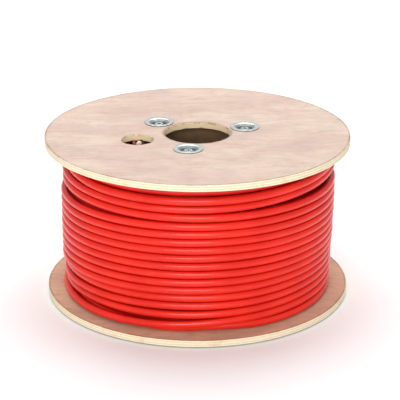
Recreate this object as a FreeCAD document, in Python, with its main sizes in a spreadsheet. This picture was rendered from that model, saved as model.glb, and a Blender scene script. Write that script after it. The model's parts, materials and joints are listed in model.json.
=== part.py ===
import FreeCAD, Part
import math
import os
import Sketcher

# Plywood cable drum wound with one length of red flexible cable, in millimetres.
# +Z runs along the drum's axis. The origin is on the axis, in the plane of the three
# lower cup washers' rims, which is the plane that the drum stands on.

Vector = FreeCAD.Vector
Rotation = FreeCAD.Rotation

# Driving dimensions: alias, value, what it is.
DRIVING = (
    ("flange_diameter", 300, "across each plywood disc"),
    ("ply_thickness", 6.5, "thickness of each plywood disc"),
    ("inner_width", 148.5, "clear width between the discs"),
    ("arbor_diameter", 66, "hole for the spindle, in both discs"),
    ("start_hole_diameter", 32, "hole for the cable's inner end, in the upper disc"),
    ("start_hole_distance", 62, "from the drum's axis to that hole's centre"),
    ("barrel_diameter", 116, "outside of the board tube"),
    ("barrel_wall", 4, "wall of the board tube"),
    ("barrel_recess", 1, "depth of the ring recess that locates the tube"),
    ("recess_clearance", 0.2, "between the tube and the sides of its recess"),
    ("bolt_circle", 100, "diameter of the circle of the three tie bolts"),
    ("bolt_count", 3, "tie bolts, evenly spaced round the circle"),
    ("bolt_turn", 20, "degrees from +X to the first tie bolt"),
    ("bolt_diameter", 5, "shank of a tie bolt"),
    ("head_diameter", 9, "round head of a tie bolt"),
    ("head_height", 2.6, "height of that head"),
    ("head_side_height", 1.4, "height of the straight side of that head"),
    ("head_top_diameter", 6.5, "flat top of that head, inside its bevel"),
    ("socket_width", 4, "across the flats of the head's hexagon socket"),
    ("socket_depth", 1.8, "depth of the hexagon socket"),
    ("bolt_end_chamfer", 0.6, "chamfer on the bolt's lower end"),
    ("bolt_end_gap", 0.6, "from the standing plane up to the bolt's lower end"),
    ("nut_width", 8, "across the flats of a nut"),
    ("nut_height", 3.5, "thickness of a nut"),
    ("nut_bore_clearance", 0.05, "between the nut's bore and the shank"),
    ("nut_chamfer", 1.1, "height of the chamfer just outside the nut's corners"),
    ("nut_chamfer_reach", 1, "how far past the corners that chamfer is cut"),
    ("washer_diameter", 29, "outside of a cup washer's rim"),
    ("washer_sheet", 1, "sheet thickness of a cup washer"),
    ("cup_mouth_diameter", 20.4, "cup washer's dish at its mouth, inside"),
    ("cup_floor_diameter", 12.4, "cup washer's dish at its floor, inside"),
    ("cup_sink", 4.5, "how deep the dish sinks below the disc's face"),
    ("cup_hole_diameter", 5.5, "bolt hole in the dish's floor"),
    ("cup_wall_shift", 0.5, "how much wider the dish is outside than inside, one side"),
    ("seat_clearance", 0.2, "between the dish and its tapered seat in the disc"),
    ("cable_diameter", 8, "outside of the cable's sheath"),
    ("core_diameter", 5.2, "bundle of cores inside the sheath, with its filler"),
    ("flap_thickness", 3.6, "the slit sheath's flap, folded on itself"),
    ("layer_rise", 7.644, "radial step from one layer of turns to the next"),
    ("inner_layer_count", 6, "layers in the innermost group"),
    ("middle_layer_count", 3, "layers in the group around it"),
    ("outer_turn_count", 18, "turns side by side in the outermost layer"),
    ("winding_gap", 0.2, "between the winding and the discs, and the tube"),
    ("groove_depth", 2, "depth of the valleys between outermost turns"),
    ("groove_width", 4, "width of those valleys at the surface"),
    ("staple_wire", 1.2, "wire of the staple that holds the outer end"),
    ("staple_span", 9.4, "between the staple's legs, wire centre to wire centre"),
    ("staple_bite", 4.5, "how deep the staple's legs are driven into the disc"),
    ("staple_gap", 0.2, "between the staple's crown and the cable above it"),
)

doc = FreeCAD.newDocument("cable_drum")
sheet = doc.addObject("Spreadsheet::Sheet", "dimensions")


class Size:
    """A length or count with the spreadsheet expression that it comes from."""

    def __init__(self, value, text):
        self.value = float(value)
        self.text = text

    def __add__(self, other):
        other = as_size(other)
        return Size(self.value + other.value, f"({self.text} + {other.text})")

    def __sub__(self, other):
        other = as_size(other)
        return Size(self.value - other.value, f"({self.text} - {other.text})")

    def __mul__(self, other):
        other = as_size(other)
        return Size(self.value * other.value, f"({self.text} * {other.text})")

    def __truediv__(self, other):
        other = as_size(other)
        return Size(self.value / other.value, f"({self.text} / {other.text})")


def as_size(number):
    """A plain number as a Size, or the Size itself."""
    if isinstance(number, Size):
        return number
    return Size(number, f"{number:.6f}")


def fill_sheet():
    """Writes the driving dimensions into the spreadsheet and returns them as Sizes by name."""
    found = {}
    for row, (alias, value, note) in enumerate(DRIVING, start=1):
        sheet.set(f"A{row}", note)
        sheet.set(f"B{row}", str(value))
        sheet.setAlias(f"B{row}", alias)
        found[alias] = Size(value, f"dimensions.{alias}")
    doc.recompute()
    return found


d = fill_sheet()
zero = as_size(0)

# Heights above the standing plane.
lower_outer_face = d["washer_sheet"]
lower_inner_face = lower_outer_face + d["ply_thickness"]
upper_inner_face = lower_inner_face + d["inner_width"]
upper_outer_face = upper_inner_face + d["ply_thickness"]

# Radii that several pieces share.
flange_radius = d["flange_diameter"] / 2
barrel_radius = d["barrel_diameter"] / 2
barrel_bore_radius = barrel_radius - d["barrel_wall"]
bolt_radius = d["bolt_diameter"] / 2
cable_radius = d["cable_diameter"] / 2
winding_inner_radius = barrel_radius + d["winding_gap"]
first_layer_radius = winding_inner_radius + cable_radius
layer_count = d["inner_layer_count"] + d["middle_layer_count"] + 1
outer_layer_radius = first_layer_radius + d["layer_rise"] * (layer_count - 1)
winding_outer_radius = outer_layer_radius + cable_radius
winding_bottom = lower_inner_face + d["winding_gap"]
winding_top = upper_inner_face - d["winding_gap"]
turn_pitch = (winding_top - winding_bottom) / d["outer_turn_count"]


def bind(feature, name, size):
    """Sets one property of a feature by its spreadsheet expression."""
    feature.setExpression(name, as_size(size).text)


def new_body(label):
    """A PartDesign body whose label is its node's name."""
    body = doc.addObject("PartDesign::Body", label)
    body.Label = label
    return body


def origin_part(body, role):
    """One of a body's own origin planes or axes, by its role."""
    return next(part for part in body.Origin.OriginFeatures if part.Role == role)


def new_sketch(body, name, plane):
    """An empty sketch on one of the body's origin planes."""
    sketch = body.newObject("Sketcher::SketchObject", name)
    sketch.AttachmentSupport = [(origin_part(body, plane), "")]
    sketch.MapMode = "FlatFace"
    return sketch


def fix_point(sketch, geometry, end, x, y):
    """Ties one end of a sketch element to its distances from the sketch's origin."""
    for kind, size, axis in (("DistanceX", x, -2), ("DistanceY", y, -1)):
        if size.value == 0:
            sketch.addConstraint(Sketcher.Constraint("PointOnObject", geometry, end, axis))
            continue
        index = sketch.addConstraint(
            Sketcher.Constraint(kind, -1, 1, geometry, end, size.value)
        )
        sketch.setExpression(f"Constraints[{index}]", size.text)


def add_circle(sketch, radius, x=zero, y=zero):
    """A circle whose radius and centre follow the spreadsheet."""
    centre = Vector(x.value, y.value, 0)
    index = sketch.addGeometry(Part.Circle(centre, Vector(0, 0, 1), radius.value), False)
    constraint = sketch.addConstraint(Sketcher.Constraint("Radius", index, radius.value))
    sketch.setExpression(f"Constraints[{constraint}]", radius.text)
    fix_point(sketch, index, 3, x, y)


def add_outline(sketch, points):
    """A closed outline of straight lines whose corners follow the spreadsheet."""
    corners = [(as_size(x), as_size(y)) for x, y in points]
    count = len(corners)
    for i, (x, y) in enumerate(corners):
        next_x, next_y = corners[(i + 1) % count]
        line = Part.LineSegment(Vector(x.value, y.value, 0), Vector(next_x.value, next_y.value, 0))
        sketch.addGeometry(line, False)
    for i in range(count):
        sketch.addConstraint(Sketcher.Constraint("Coincident", i, 2, (i + 1) % count, 1))
    for i, (x, y) in enumerate(corners):
        fix_point(sketch, i, 1, x, y)


def pad(body, name, sketch, length):
    """Raises a sketch along +Z."""
    feature = body.newObject("PartDesign::Pad", name)
    feature.Profile = sketch
    bind(feature, "Length", length)
    doc.recompute()
    return feature


def pocket_up(body, name, sketch, depth):
    """Cuts a sketch upwards, and stops if nothing was cut."""
    before = body.Shape.Volume
    feature = body.newObject("PartDesign::Pocket", name)
    feature.Profile = sketch
    feature.Reversed = True
    bind(feature, "Length", depth)
    doc.recompute()
    if body.Shape.Volume >= before:
        raise ValueError(f"{body.Label}: {name} cut nothing")
    return feature


def turned(body, name, points):
    """Turns a closed (radius, height) outline about the body's Z axis."""
    sketch = new_sketch(body, f"{name}_outline", "XZ_Plane")
    add_outline(sketch, points)
    feature = body.newObject("PartDesign::Revolution", name)
    feature.Profile = sketch
    feature.ReferenceAxis = (sketch, ["V_Axis"])
    feature.Angle = 360
    doc.recompute()
    return feature


def turned_cut(body, name, points):
    """Cuts a closed (radius, height) outline, turned about the body's Z axis."""
    sketch = new_sketch(body, f"{name}_outline", "XZ_Plane")
    add_outline(sketch, points)
    before = body.Shape.Volume
    feature = body.newObject("PartDesign::Groove", name)
    feature.Profile = sketch
    feature.ReferenceAxis = (sketch, ["V_Axis"])
    feature.Angle = 360
    doc.recompute()
    if body.Shape.Volume >= before:
        raise ValueError(f"{body.Label}: {name} cut nothing")
    return feature


def hexagon(width):
    """The corners of a hexagon of that width across its flats."""
    corner = width / (2 * math.cos(math.radians(30)))
    corners = []
    for i in range(6):
        angle = math.radians(60 * i)
        corners.append((corner * round(math.cos(angle), 9), corner * round(math.sin(angle), 9)))
    return corners


def place(piece, height, turn=0.0, distance=0.0, flipped=False):
    """Puts a piece at a height, at a distance from the axis in the direction of a turn in
    degrees, upside down where it is flipped."""
    swing = Rotation(Vector(0, 0, 1), turn)
    over = Rotation(Vector(1, 0, 0), 180 if flipped else 0)
    spot = swing.multVec(Vector(distance, 0, height))
    piece.Placement = FreeCAD.Placement(spot, swing.multiply(over))


def bolt_angles():
    """Directions of the three tie bolts, in degrees."""
    count = int(d["bolt_count"].value)
    return [d["bolt_turn"].value + 360 / count * i for i in range(count)]


def flange(label, height, flipped, has_start_hole):
    """A plywood disc. Its inner face lies on the body's own XY plane."""
    body = new_body(label)
    disc = new_sketch(body, "disc_outline", "XY_Plane")
    add_circle(disc, flange_radius)
    add_circle(disc, d["arbor_diameter"] / 2)
    pad(body, "disc", disc, d["ply_thickness"])

    recess = new_sketch(body, "tube_recess_outline", "XY_Plane")
    add_circle(recess, barrel_radius + d["recess_clearance"])
    add_circle(recess, barrel_bore_radius - d["recess_clearance"])
    pocket_up(body, "tube_recess", recess, d["barrel_recess"])

    if has_start_hole:
        hole = new_sketch(body, "start_hole_outline", "XY_Plane")
        add_circle(hole, d["start_hole_diameter"] / 2, x=zero - d["start_hole_distance"])
        pocket_up(body, "start_hole", hole, d["ply_thickness"])

    mouth = d["cup_mouth_diameter"] / 2 + d["cup_wall_shift"] + d["seat_clearance"]
    dish_depth = d["cup_sink"]
    taper = (d["cup_mouth_diameter"] - d["cup_floor_diameter"]) / 2 / dish_depth
    before = body.Shape.Volume
    seat = body.newObject("PartDesign::SubtractiveCone", "bolt_seat")
    bind(seat, "Radius1", mouth - taper * d["ply_thickness"])
    bind(seat, "Radius2", mouth)
    bind(seat, "Height", d["ply_thickness"])
    bind(seat, "Placement.Base.x", d["bolt_circle"] / 2)
    doc.recompute()
    seats = body.newObject("PartDesign::PolarPattern", "bolt_seats")
    seats.Originals = [seat]
    seats.Axis = (origin_part(body, "Z_Axis"), [""])
    seats.Angle = 360
    seats.Occurrences = int(d["bolt_count"].value)
    body.Tip = seats
    doc.recompute()
    print(f"{label}: the tapered seats take {before - body.Shape.Volume:.0f} mm3")
    place(body, height.value, turn=d["bolt_turn"].value, flipped=flipped)
    return body


def core_tube():
    """The board tube that the cable is wound on, its ends in the discs' recesses."""
    body = new_body("core_tube")
    ring = new_sketch(body, "tube_outline", "XY_Plane")
    add_circle(ring, barrel_radius)
    add_circle(ring, barrel_bore_radius)
    pad(body, "tube", ring, d["inner_width"] + d["barrel_recess"] * 2)
    place(body, (lower_inner_face - d["barrel_recess"]).value)
    return body


def cup_washer(label, turn, upper):
    """A pressed steel washer: a flat rim around a dish that sinks into the disc."""
    body = new_body(label)
    hole = d["cup_hole_diameter"] / 2
    floor = d["cup_floor_diameter"] / 2
    mouth = d["cup_mouth_diameter"] / 2
    rim = d["washer_diameter"] / 2
    sheet_top = d["cup_sink"] + d["washer_sheet"]
    turned(body, "dish", (
        (hole, zero),
        (floor + d["cup_wall_shift"], zero),
        (mouth + d["cup_wall_shift"], d["cup_sink"]),
        (rim, d["cup_sink"]),
        (rim, sheet_top),
        (mouth, sheet_top),
        (floor, d["washer_sheet"]),
        (hole, d["washer_sheet"]),
    ))
    if upper:
        height = upper_outer_face - d["cup_sink"]
    else:
        height = lower_outer_face + d["cup_sink"]
    place(body, height.value, turn=turn, distance=d["bolt_circle"].value / 2, flipped=not upper)
    return body


def tie_bolt(label, turn):
    """A long bolt whose round head sits in the upper dish and whose thread ends in the lower."""
    body = new_body(label)
    bearing = upper_outer_face - d["cup_sink"] + d["washer_sheet"]
    shank = bearing - d["bolt_end_gap"]
    head = d["head_diameter"] / 2
    turned(body, "shank_and_head", (
        (zero, zero),
        (bolt_radius - d["bolt_end_chamfer"], zero),
        (bolt_radius, d["bolt_end_chamfer"]),
        (bolt_radius, shank),
        (head, shank),
        (head, shank + d["head_side_height"]),
        (d["head_top_diameter"] / 2, shank + d["head_height"]),
        (zero, shank + d["head_height"]),
    ))
    socket = new_sketch(body, "socket_outline", "XY_Plane")
    bind(socket, "AttachmentOffset.Base.z", shank + d["head_height"] - d["socket_depth"])
    add_outline(socket, hexagon(d["socket_width"]))
    pocket_up(body, "socket", socket, d["socket_depth"])
    place(body, d["bolt_end_gap"].value, turn=turn, distance=d["bolt_circle"].value / 2)
    return body


def hex_nut(label, turn):
    """A plain nut on the thread, against the floor of the lower dish."""
    body = new_body(label)
    outline = new_sketch(body, "nut_outline", "XY_Plane")
    add_outline(outline, hexagon(d["nut_width"]))
    add_circle(outline, bolt_radius + d["nut_bore_clearance"])
    pad(body, "nut", outline, d["nut_height"])
    corner = d["nut_width"] / (2 * math.cos(math.radians(30)))
    turned_cut(body, "corner_chamfer", (
        (d["nut_width"] / 2, zero),
        (corner + d["nut_chamfer_reach"], zero),
        (corner + d["nut_chamfer_reach"], d["nut_chamfer"]),
    ))
    floor = lower_outer_face + d["cup_sink"] - d["washer_sheet"]
    place(body, (floor - d["nut_height"]).value, turn=turn, distance=d["bolt_circle"].value / 2)
    return body


def layer_group(label, inner_radius, outer_radius):
    """A group of layers of the wound cable, as the ring that they fill."""
    body = new_body(label)
    turned(body, "layers", (
        (inner_radius, winding_bottom),
        (outer_radius, winding_bottom),
        (outer_radius, winding_top),
        (inner_radius, winding_top),
    ))
    return body


def outermost_layer(inner_radius):
    """The outermost layer, with a valley between each turn and the next."""
    body = layer_group("cable_outer_layer", inner_radius, winding_outer_radius)
    first = winding_bottom + turn_pitch
    half = d["groove_width"] / 2
    valley = turned_cut(body, "valley", (
        (winding_outer_radius + 1, first - half),
        (winding_outer_radius + 1, first + half),
        (winding_outer_radius, first + half),
        (winding_outer_radius - d["groove_depth"], first),
        (winding_outer_radius, first - half),
    ))
    valleys = body.newObject("PartDesign::LinearPattern", "valleys")
    valleys.Originals = [valley]
    valleys.Direction = (origin_part(body, "Z_Axis"), [""])
    bind(valleys, "Length", turn_pitch * (d["outer_turn_count"] - 2))
    bind(valleys, "Occurrences", d["outer_turn_count"] - 1)
    body.Tip = valleys
    doc.recompute()
    return body


def route_edges(points, smallest_turn=math.radians(0.5)):
    """Straight runs joined by tangent arcs, each as large as its two runs allow. Prints the
    radii of the arcs."""
    edges = []
    radii = []
    begin = points[0]
    for before, corner, after in zip(points, points[1:], points[2:]):
        back = before - corner
        ahead = after - corner
        run = min(back.Length, ahead.Length)
        back.normalize()
        ahead.normalize()
        turn = math.pi - back.getAngle(ahead)
        if turn < smallest_turn:
            raise ValueError("three points of a route are in line")
        reach = 0.45 * run
        radius = reach / math.tan(turn / 2)
        bisector = (back + ahead).normalize()
        centre = corner + bisector * (radius / math.cos(turn / 2))
        middle = centre - bisector * radius
        arc_begin = corner + back * reach
        arc_end = corner + ahead * reach
        edges.append(Part.LineSegment(begin, arc_begin).toShape())
        edges.append(Part.Arc(arc_begin, middle, arc_end).toShape())
        radii.append(round(radius, 1))
        begin = arc_end
    edges.append(Part.LineSegment(begin, points[-1]).toShape())
    print("arc radii", radii)
    return edges


def tube(label, points, radius):
    """A round bar along a route, checked against its section times its length."""
    path = Part.Wire(route_edges([Vector(*point) for point in points]))
    start = Vector(*points[0])
    heading = Vector(*points[1]) - start
    section = Part.Wire([Part.Circle(start, heading, radius).toShape()])
    shape = path.makePipeShell([section], True, False)
    expected = math.pi * radius * radius * path.Length
    print(f"{label}: {path.Length:.1f} mm long, volume {shape.Volume / expected:.4f} of its section")
    piece = doc.addObject("Part::Feature", label)
    piece.Shape = shape
    piece.Label = label
    return piece


def cable_start():
    """The cable's inner end: it leaves the first layer and climbs into the start hole, where
    the sheath is slit. The pale bundle of cores stands up to the disc's face, and the flap
    of sheath stands beside it."""
    sheath = (
        (-40.5, -49.5, 148.0),
        (-50.0, -40.0, 148.8),
        (-56.0, -30.0, 151.5),
        (-58.2, -22.5, 155.6),
    )
    cores = (
        (-58.2, -22.5, 155.6),
        (-56.8, -22.9, 158.8),
        (-55.6, -24.2, 161.6),
    )
    flap = (
        (-60.4, -21.6, 155.8),
        (-61.6, -21.0, 158.2),
        (-62.0, -20.6, 160.4),
    )
    tube("cable_start_tail", sheath, cable_radius.value)
    tube("cable_start_core", cores, d["core_diameter"].value / 2)
    tube("cable_start_flap", flap, d["flap_thickness"].value / 2)


def outer_end_route():
    """The cable's outer end: it leaves the topmost turn at the back of the drum and runs on
    beside the winding, against the inside of the upper disc."""
    return (
        (111.4, 87.1, 151.6),
        (75.4, 120.5, 151.8),
        (29.8, 139.6, 151.8),
        (-20.2, 142.2, 151.8),
        (-63.4, 130.0, 151.8),
    )


def end_staple(route):
    """A wire staple driven into the upper disc, with its crown under the cable's outer end."""
    near = Vector(*route[2])
    far = Vector(*route[3])
    spot = near + (far - near) * 0.5
    heading = (far - near).normalize()
    sideways = Vector(0, 0, 1).cross(heading).normalize() * (d["staple_span"].value / 2)
    crown = cable_radius + d["staple_gap"] + d["staple_wire"] / 2
    down = Vector(0, 0, spot.z - crown.value)
    up = Vector(0, 0, (upper_inner_face + d["staple_bite"]).value)
    flat = Vector(spot.x, spot.y, 0)
    corners = (
        flat + sideways + up,
        flat + sideways + down,
        flat - sideways + down,
        flat - sideways + up,
    )
    tube("end_staple", corners, d["staple_wire"].value / 2)


def check_and_write():
    """Stops at the first failed object, then writes every sub-part to its own STEP file."""
    doc.recompute()
    for thing in doc.Objects:
        if "Invalid" in thing.State or "Error" in thing.State:
            raise ValueError(f"{thing.Label} failed: {thing.State}")
    pieces = [o for o in doc.Objects if o.TypeId in ("PartDesign::Body", "Part::Feature")]
    os.makedirs("parts", exist_ok=True)
    for piece in pieces:
        shape = piece.Shape
        if shape.isNull() or not shape.isValid() or not shape.Solids:
            raise ValueError(f"{piece.Label} has no valid solid")
        shape.exportStep(f"parts/{piece.Label}.step")
        box = shape.BoundBox
        print(f"{piece.Label}: {shape.Volume:.0f} mm3, z {box.ZMin:.2f} to {box.ZMax:.2f}")
    print(f"{len(pieces)} sub-parts written")


flange("upper_flange", upper_inner_face, flipped=False, has_start_hole=True)
flange("lower_flange", lower_inner_face, flipped=True, has_start_hole=False)
core_tube()
for number, angle in enumerate(bolt_angles(), start=1):
    cup_washer(f"upper_cup_washer_{number}", angle, upper=True)
    cup_washer(f"lower_cup_washer_{number}", angle, upper=False)
    tie_bolt(f"tie_bolt_{number}", angle)
    hex_nut(f"hex_nut_{number}", angle)

inner_group_radius = winding_inner_radius + cable_radius + d["layer_rise"] * (
    d["inner_layer_count"] - 0.5
)
middle_group_radius = inner_group_radius + d["layer_rise"] * d["middle_layer_count"]
layer_group("cable_inner_layers", winding_inner_radius, inner_group_radius)
layer_group("cable_middle_layers", inner_group_radius, middle_group_radius)
outermost_layer(middle_group_radius)
cable_start()
end_route = outer_end_route()
tube("cable_end_tail", end_route, cable_radius.value)
end_staple(end_route)
check_and_write()
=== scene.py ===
# %% [markdown]
# # A plywood drum of red cable
# Two round plywood discs are clamped across a board tube by three long bolts, and about a hundred
# metres of red flexible cable is wound between them. The CAD frame holds every size. This file adds
# what the eye looks for: real turns of cable, plies and chips in the wood, pressed and plated steel.

# %% Load the frame
import json
import math

import bmesh
import bpy
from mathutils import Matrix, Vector, noise
from mathutils.geometry import delaunay_2d_cdt


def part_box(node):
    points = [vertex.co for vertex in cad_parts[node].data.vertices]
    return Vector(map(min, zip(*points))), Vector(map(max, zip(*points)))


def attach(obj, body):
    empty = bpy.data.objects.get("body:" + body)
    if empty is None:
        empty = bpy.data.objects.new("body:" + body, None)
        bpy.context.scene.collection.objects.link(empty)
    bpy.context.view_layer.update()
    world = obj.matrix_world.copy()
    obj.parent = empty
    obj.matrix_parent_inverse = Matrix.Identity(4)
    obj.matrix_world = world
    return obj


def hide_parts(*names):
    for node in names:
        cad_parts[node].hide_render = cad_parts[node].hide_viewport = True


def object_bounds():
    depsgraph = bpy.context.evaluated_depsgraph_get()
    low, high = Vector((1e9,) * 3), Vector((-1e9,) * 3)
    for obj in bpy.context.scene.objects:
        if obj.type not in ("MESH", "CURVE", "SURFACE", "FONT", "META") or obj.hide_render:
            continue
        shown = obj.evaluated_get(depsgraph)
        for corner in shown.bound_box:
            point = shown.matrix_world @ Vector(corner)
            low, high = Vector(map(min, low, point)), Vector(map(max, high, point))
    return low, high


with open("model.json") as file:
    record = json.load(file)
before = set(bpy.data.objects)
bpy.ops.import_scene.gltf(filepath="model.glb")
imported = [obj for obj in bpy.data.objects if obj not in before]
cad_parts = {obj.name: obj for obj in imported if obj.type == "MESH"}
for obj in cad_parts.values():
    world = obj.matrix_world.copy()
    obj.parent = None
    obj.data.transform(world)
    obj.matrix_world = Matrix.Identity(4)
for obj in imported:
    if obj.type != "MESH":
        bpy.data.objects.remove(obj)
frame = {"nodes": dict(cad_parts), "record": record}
cad_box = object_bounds()
ROOT = "root"
MM = 0.001
print("nodes:", len(frame["nodes"]), "box:", [tuple(round(x, 4) for x in corner) for corner in cad_box])

# %% [markdown]
# ## Sizes from the frame
# Every piece is placed from the boxes of the CAD nodes, so nothing here has to be fitted by eye.
# A ring's radius is half of its box's width, and the heights of the discs' faces are their boxes'
# lowest and highest points.

# %% Read the sizes


def radius_of(node):
    """Half of a node's width along X, which is the radius of a round piece on the drum's axis."""
    low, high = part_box(node)
    return (high[0] - low[0]) / 2


lower_low, lower_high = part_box("lower_flange")
upper_low, upper_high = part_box("upper_flange")
FLANGE_RADIUS = radius_of("upper_flange")
PLY = upper_high[2] - upper_low[2]
LOWER_FACE = lower_high[2]
UPPER_FACE = upper_low[2]
TUBE_RADIUS = radius_of("core_tube")
WINDING_RADIUS = radius_of("cable_outer_layer")
WINDING_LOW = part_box("cable_outer_layer")[0][2]
WINDING_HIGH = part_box("cable_outer_layer")[1][2]
ARBOR_RADIUS = frame["record"]["mounts"][0]["dims"]["r_mm"] * MM
CABLE_RADIUS = 4 * MM
print(f"disc {FLANGE_RADIUS:.4f} m, winding {WINDING_RADIUS:.4f} m, ply {PLY:.4f} m")

# %% [markdown]
# ## The camera
# The camera stands well back with a long lens, a little above the drum, so that the upper disc
# shows as a flat ellipse and the turns of cable curve gently.

# %% Camera
EYE_DISTANCE = 1.8105
EYE_RISE = math.radians(20.89)
LOOK_DOWN = math.radians(20.69)
SIGHT_HEIGHT = (LOWER_FACE + upper_high[2]) / 2

camera_data = bpy.data.cameras.new("camera")
camera_data.lens = 163.4
camera_data.sensor_width = 36
camera_data.shift_x = 0.0065
camera = bpy.data.objects.new("camera", camera_data)
camera.location = (
    0,
    -EYE_DISTANCE * math.cos(EYE_RISE),
    SIGHT_HEIGHT + EYE_DISTANCE * math.sin(EYE_RISE),
)
camera.rotation_euler = (math.pi / 2 - LOOK_DOWN, 0, 0)
bpy.context.collection.objects.link(camera)
bpy.context.scene.camera = camera
print("camera at", [round(x, 3) for x in camera.location])

# %% [markdown]
# ## How the cable is laid
# A drum is wound by turning it while the cable is led up and down between the discs. Each layer is
# a helix, and at a disc the cable climbs onto the layer below and goes back. The turn count of a
# layer and the rise from layer to layer give its length. A coil could be modelled as one scalloped
# cylinder, but then no turn could slip, climb or leave a gap, so the real line of the cable is
# followed from its inner end to its outer end, and a round section is drawn along it.

# %% The cable's line, turn by turn
LAYER_RISE = 7.644 * MM
HIDDEN_LAYERS = 9
FIRST_RADIUS = TUBE_RADIUS + 0.2 * MM + CABLE_RADIUS
OUTER_RADIUS = WINDING_RADIUS - CABLE_RADIUS
START_ANGLE = math.radians(230.7)
FRONT = math.radians(270)
SEAM_ANGLE = FRONT + math.radians(5)
HIDDEN_TURNS = (146 + (SEAM_ANGLE - START_ANGLE) / math.tau) / HIDDEN_LAYERS
LOWEST_LANE = WINDING_LOW + CABLE_RADIUS
HIGHEST_LANE = WINDING_HIGH - CABLE_RADIUS
# A covered layer stays level in its last half turn and climbs outwards in its last fifth.
CLIMB_TURNS = 0.2
LEVEL_TURNS = 0.5
START_SINK = 4 * MM
# The last covered layer is pushed out at the left, behind the wedge in the layer over it.
PUSHED_OUT = 3 * MM
PUSHED_HEIGHT = 114 * MM
PUSHED_REACH = 9 * MM


def smooth(x):
    """0 below 0, 1 above 1 and an even S between them."""
    x = min(1.0, max(0.0, x))
    return x * x * (3 - 2 * x)


def step(x, start, length):
    """0 before the start, 1 from a length beyond it and an even S between them."""
    return smooth((x - start) / length)


def bump(x, centre, width):
    """A smooth hill of height 1 around a centre, 0 beyond its width on either side."""
    return smooth(1 - abs(x - centre) / width)


def bumps(faults, turns):
    """The sum of a list of hills (centre, width, size) at this count of turns."""
    return sum(size * bump(turns, centre, width) for centre, width, size in faults)


def around(angle, radius, height):
    """A point at that angle, radius and height."""
    return Vector((radius * math.cos(angle), radius * math.sin(angle), height))


def side_angle(angle):
    """The angle from the drum's front, from -180 on the left round to 180, in degrees."""
    return (math.degrees(angle - FRONT) + 180) % 360 - 180


def rightness(side):
    """1 at the drum's right, 0 at its left and a half at the front and the back."""
    return 0.5 + 0.5 * math.sin(math.radians(side))


def hidden_layer(index, per_turn):
    """Points down one of the covered layers, from the top down in the first and back up in the
    next, with the climb onto the following layer in its last part."""
    radius = FIRST_RADIUS + index * LAYER_RISE
    begin = START_ANGLE + index * HIDDEN_TURNS * math.tau
    count = round(HIDDEN_TURNS * per_turn)
    cut_corner = math.cos(math.pi / per_turn)
    points = []
    for i in range(count):
        turns = HIDDEN_TURNS * i / count
        travel = min(1.0, turns / (HIDDEN_TURNS - LEVEL_TURNS))
        if index % 2:
            height = LOWEST_LANE + (HIGHEST_LANE - LOWEST_LANE) * travel
        else:
            height = HIGHEST_LANE - (HIGHEST_LANE - LOWEST_LANE) * travel
        if index == 0:
            height -= START_SINK * (1 - travel)
        climb = LAYER_RISE * smooth((turns - HIDDEN_TURNS + CLIMB_TURNS) / CLIMB_TURNS)
        if index == HIDDEN_LAYERS - 1:
            left = 1 - rightness(side_angle(begin + turns * math.tau))
            climb += PUSHED_OUT * bump(height, PUSHED_HEIGHT, PUSHED_REACH) * smooth(left)
        points.append(around(begin + turns * math.tau, (radius + climb) / cut_corner, height))
    return points


print(f"{HIDDEN_TURNS:.2f} turns in each covered layer")

# %% [markdown]
# ## The outermost layer
# Only this layer is seen, so its faults matter. Its turns climb by one cable's width each time
# round. Those in the middle lean, high at the front and low at the sides. The last few were pushed
# the other way, so between the two lots a wedge opens on both sides. At the upper left one turn
# dives from under the disc and rides over its neighbour, and at the lower left the first turns
# have sunk in. Each fault is a smooth hill or step in the count of turns, added to an even helix.

# %% Lean of the outermost layer
OUTER_TURNS = 17 + (math.radians(38) - SEAM_ANGLE + math.tau) / math.tau
TURN_PITCH = 8.09 * MM
FIRST_TURN_HEIGHT = 10.0 * MM
# How far turns have sunk at the left and the right, and how far the last few stand too high.
LEAN_LOW = 7.4 * MM
LEAN_LEFT = 6.6 * MM
LEAN_RIGHT = 8.0 * MM
RAISED_LEFT = 2.0 * MM
RAISED_RIGHT = 4.0 * MM
# Smaller lifts: the fourth turn's and the twelfth's at the left, and all turns' at the right.
LIFT_FOURTH = 2.0 * MM
LIFT_TWELFTH = 1.2 * MM
LIFT_RIGHT = 2.6 * MM


def lean(turns, side):
    """How far a turn has sunk at this place, between what it has at the left and at the right.
    It is nothing at the front, most at the sides and less again at the back."""
    left = LEAN_LOW * step(turns, 1.1, 0.5)
    left += (LEAN_LEFT - left) * step(turns, 2.9, 1.2)
    left -= LIFT_FOURTH * bump(turns, 3.74, 0.5)
    left -= LIFT_TWELFTH * step(turns, 11.5, 1.5)
    left += (-RAISED_LEFT - left) * step(turns, 13.2, 0.5)
    right = LEAN_RIGHT * step(turns, 2, 10) - LIFT_RIGHT
    right += (-RAISED_RIGHT - right) * step(turns, 14.35, 0.4)
    share = rightness(side)
    reach = 0.9 * smooth(abs(side) / 105) * (1 - 0.6 * step(abs(side), 100, 80))
    return (left * (1 - share) + right * share) * reach


print(f"{OUTER_TURNS:.2f} turns in the outermost layer")

# %% Faults of single turns
# Each row is the turn that a fault centres on, its reach in turns and its size.
RISES = (
    (1.92, 0.14, -1.4 * MM),
    (15.72, 0.15, 8.0 * MM),
    (16.0, 0.2, 1.0 * MM),
)
BULGES = (
    (0.24, 0.22, -1.8 * MM),
    (0.72, 0.14, -0.6 * MM),
    (0.85, 0.1, 2.2 * MM),
    (15.05, 0.25, -1.4 * MM),
    (15.98, 0.25, 2.2 * MM),
    (17.0, 0.3, -3.6 * MM),
)
LEFT_BULGES = (
    (1.74, 0.6, -3.4 * MM),
    (2.74, 0.5, -2.0 * MM),
    (3.74, 0.5, -3.0 * MM),
)
# The lowest turn lies on the disc from the back to the front, where it rises over its own start.
LOWEST_DIP = 5.0 * MM
# The winding's sides: narrower low down at the right, and narrower high up at the left.
NARROW_LOW_RIGHT = 1.8 * MM
NARROW_HIGH_LEFT = 2.0 * MM
WIDE_HIGH_RIGHT = 1.0 * MM
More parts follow.
